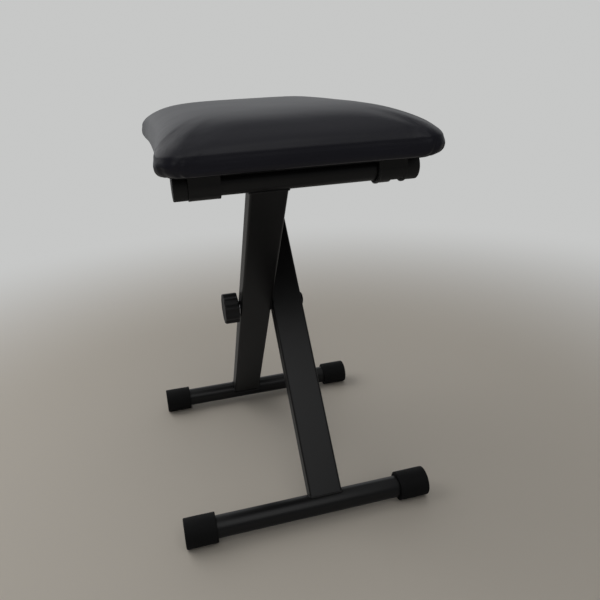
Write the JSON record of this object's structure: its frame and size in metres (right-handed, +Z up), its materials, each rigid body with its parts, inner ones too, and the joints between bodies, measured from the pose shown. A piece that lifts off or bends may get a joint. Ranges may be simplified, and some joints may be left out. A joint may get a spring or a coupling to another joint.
{
  "type": "folding keyboard bench",
  "caption": "Folding bench with a padded rectangular seat on crossed tube legs, joined by a clamped pivot, with round cross bars in rubber-capped feet.",
  "frame": {"origin": "on the floor, under the middle of the seat and of the pivot", "axes": "+Z up; +X along the cross bars, from the clamping knob's side to the bolt head's side; the legs spread along Y"},
  "size_m": [0.3, 0.426, 0.4762],
  "materials": {
    "painted_steel": "satin black powder coat",
    "black_plastic": "fine-grained black moulding",
    "rubber": "matte black rubber",
    "zinc_steel": "zinc plated steel",
    "nylon": "black nylon",
    "vinyl": "smooth black vinyl with a soft sheen",
    "foam": "open-cell foam",
    "plywood": "bare plywood",
    "dust_cloth": "black non-woven cloth",
    "screw_steel": "black oxide steel"
  },
  "bodies": {
    "frame_a": {"leg_a": "painted_steel", "spacer_a": "zinc_steel", "far_foot_bar": "painted_steel", "far_foot_cap_left": "rubber", "far_foot_cap_right": "rubber", "near_upper_bar": "painted_steel", "near_upper_cap_left": "black_plastic", "near_upper_cap_right": "black_plastic", "friction_washer": "nylon"},
    "frame_b": {"leg_b": "painted_steel", "spacer_b": "zinc_steel", "near_foot_bar": "painted_steel", "near_foot_cap_left": "rubber", "near_foot_cap_right": "rubber", "far_upper_bar": "painted_steel", "far_upper_cap_left": "black_plastic", "far_upper_cap_right": "black_plastic", "pivot_bolt": "screw_steel"},
    "clamp_washer": {"clamp_washer": "zinc_steel"},
    "knob": {"clamp_knob": "black_plastic", "knob_nut": "zinc_steel"},
    "seat": {"hinge_strap_left": "painted_steel", "hinge_strap_right": "painted_steel", "bar_sleeve_left": "nylon", "bar_sleeve_right": "nylon", "rest_rail_left": "painted_steel", "rest_rail_right": "painted_steel", "seat_cover": "vinyl", "seat_foam": "foam", "seat_board": "plywood", "dust_cloth": "dust_cloth", "strap_screw_left_1": "screw_steel", "strap_screw_left_2": "screw_steel", "strap_screw_left_3": "screw_steel", "strap_screw_left_4": "screw_steel", "strap_screw_right_1": "screw_steel", "strap_screw_right_2": "screw_steel", "strap_screw_right_3": "screw_steel", "strap_screw_right_4": "screw_steel", "rail_screw_left_1": "screw_steel", "rail_screw_left_2": "screw_steel", "rail_screw_left_3": "screw_steel", "rail_screw_right_1": "screw_steel", "rail_screw_right_2": "screw_steel", "rail_screw_right_3": "screw_steel"}
  },
  "joints": [
    {"name": "fold", "type": "hinge", "parent": "frame_a", "child": "frame_b", "pos_m": [0, 0, 0.22357], "axis": [1, 0, 0], "range_deg": [-10, 65]},
    {"name": "washer_slide", "type": "slide", "parent": "frame_b", "child": "clamp_washer", "axis": [-1, 0, 0], "range_m": [0, 0.0026]},
    {"name": "knob_turn", "type": "hinge", "parent": "clamp_washer", "child": "knob", "pos_m": [-0.05, 0, 0.22357], "axis": [-1, 0, 0], "range_deg": [0, 720]},
    {"name": "seat_turn", "type": "hinge", "parent": "frame_a", "child": "seat", "pos_m": [0, -0.14145, 0.4106], "axis": [1, 0, 0], "range_deg": [-5.1, 32.6]}
  ],
  "couplings": [
    {"joint": "seat_turn", "follows": "fold", "ratio": 0.5},
    {"joint": "washer_slide", "follows": "knob_turn", "m_per_rad": 0.00019894}
  ]
}
